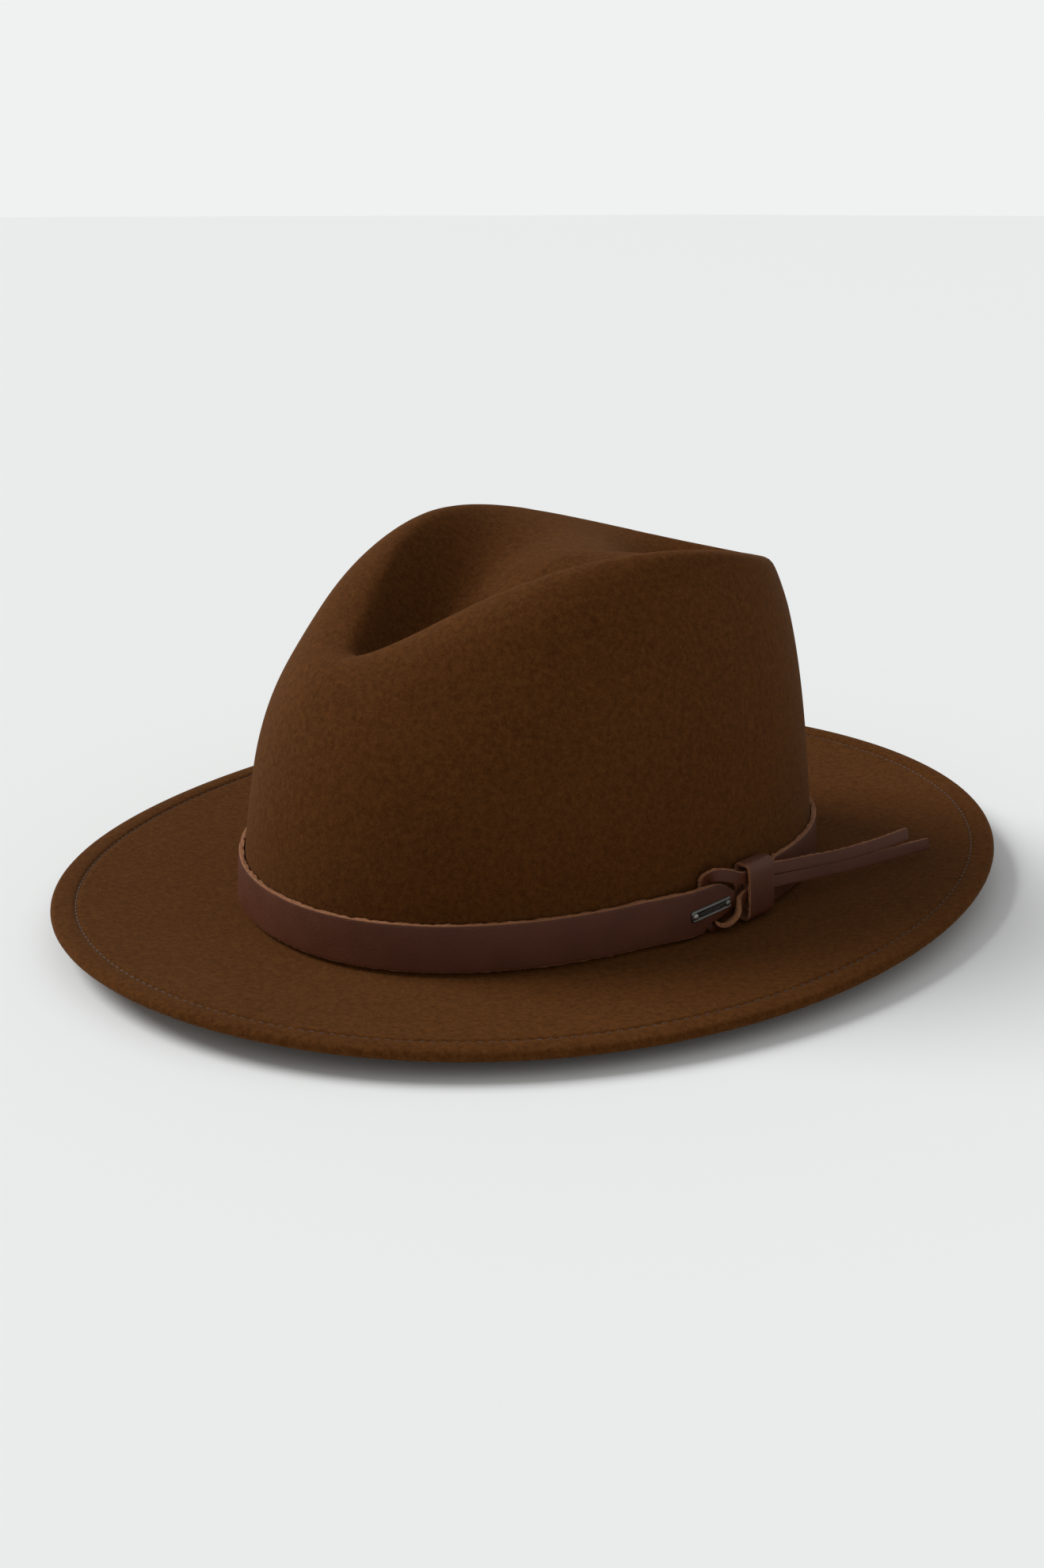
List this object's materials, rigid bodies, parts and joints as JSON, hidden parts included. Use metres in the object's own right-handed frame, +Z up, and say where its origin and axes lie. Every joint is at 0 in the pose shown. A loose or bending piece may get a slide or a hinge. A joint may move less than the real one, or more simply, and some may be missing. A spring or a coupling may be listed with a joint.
{
  "type": "fedora hat",
  "caption": "Felt fedora with a teardrop crown, a flat welted brim, and a leather band closed by a keeper with two free tails.",
  "frame": {"origin": "centre of the brim's outline, on the surface that the hat rests on", "axes": "-Y is the front of the hat, +X is the wearer's left, +Z is up"},
  "size_m": [0.289, 0.3472, 0.121],
  "materials": {
    "felt": "matt brown wool felt",
    "brim_thread": "dark brown thread",
    "band_leather": "oiled red-brown leather with raw tan edges",
    "badge_metal": "gunmetal",
    "tack_thread": "brown waxed thread",
    "sweatband_leather": "soft brown leather",
    "reed_leather": "soft dark brown leather",
    "bow_ribbon": "dark ribbed ribbon",
    "lining_satin": "brown satin"
  },
  "bodies": {
    "hat": {"felt_body": "felt", "brim_stitching": "brim_thread", "band_strap": "band_leather", "band_keeper": "band_leather", "lace_loop_upper": "band_leather", "lace_loop_lower": "band_leather", "badge_plate": "badge_metal", "badge_rivet_front": "badge_metal", "badge_rivet_rear": "badge_metal", "strap_tack_back": "tack_thread", "strap_tack_right": "tack_thread", "sweatband": "sweatband_leather", "sweatband_reed": "reed_leather", "sweatband_bow": "bow_ribbon", "lining_side": "lining_satin", "lining_tip": "lining_satin"},
    "upper_tail": {"tail_upper": "band_leather"},
    "lower_tail": {"tail_lower": "band_leather"}
  },
  "joints": [
    {"name": "tail_upper_swing", "type": "hinge", "parent": "hat", "child": "upper_tail", "pos_m": [0.08674, 0.02311, 0.01974], "axis": [0.2069, -0.0202, -0.9781], "range_deg": [-4, 35], "stiffness_Nm_per_rad": 0.004},
    {"name": "tail_lower_swing", "type": "hinge", "parent": "hat", "child": "lower_tail", "pos_m": [0.08717, 0.02302, 0.01544], "axis": [0.2069, -0.0202, -0.9781], "range_deg": [-4, 35], "stiffness_Nm_per_rad": 0.004}
  ]
}
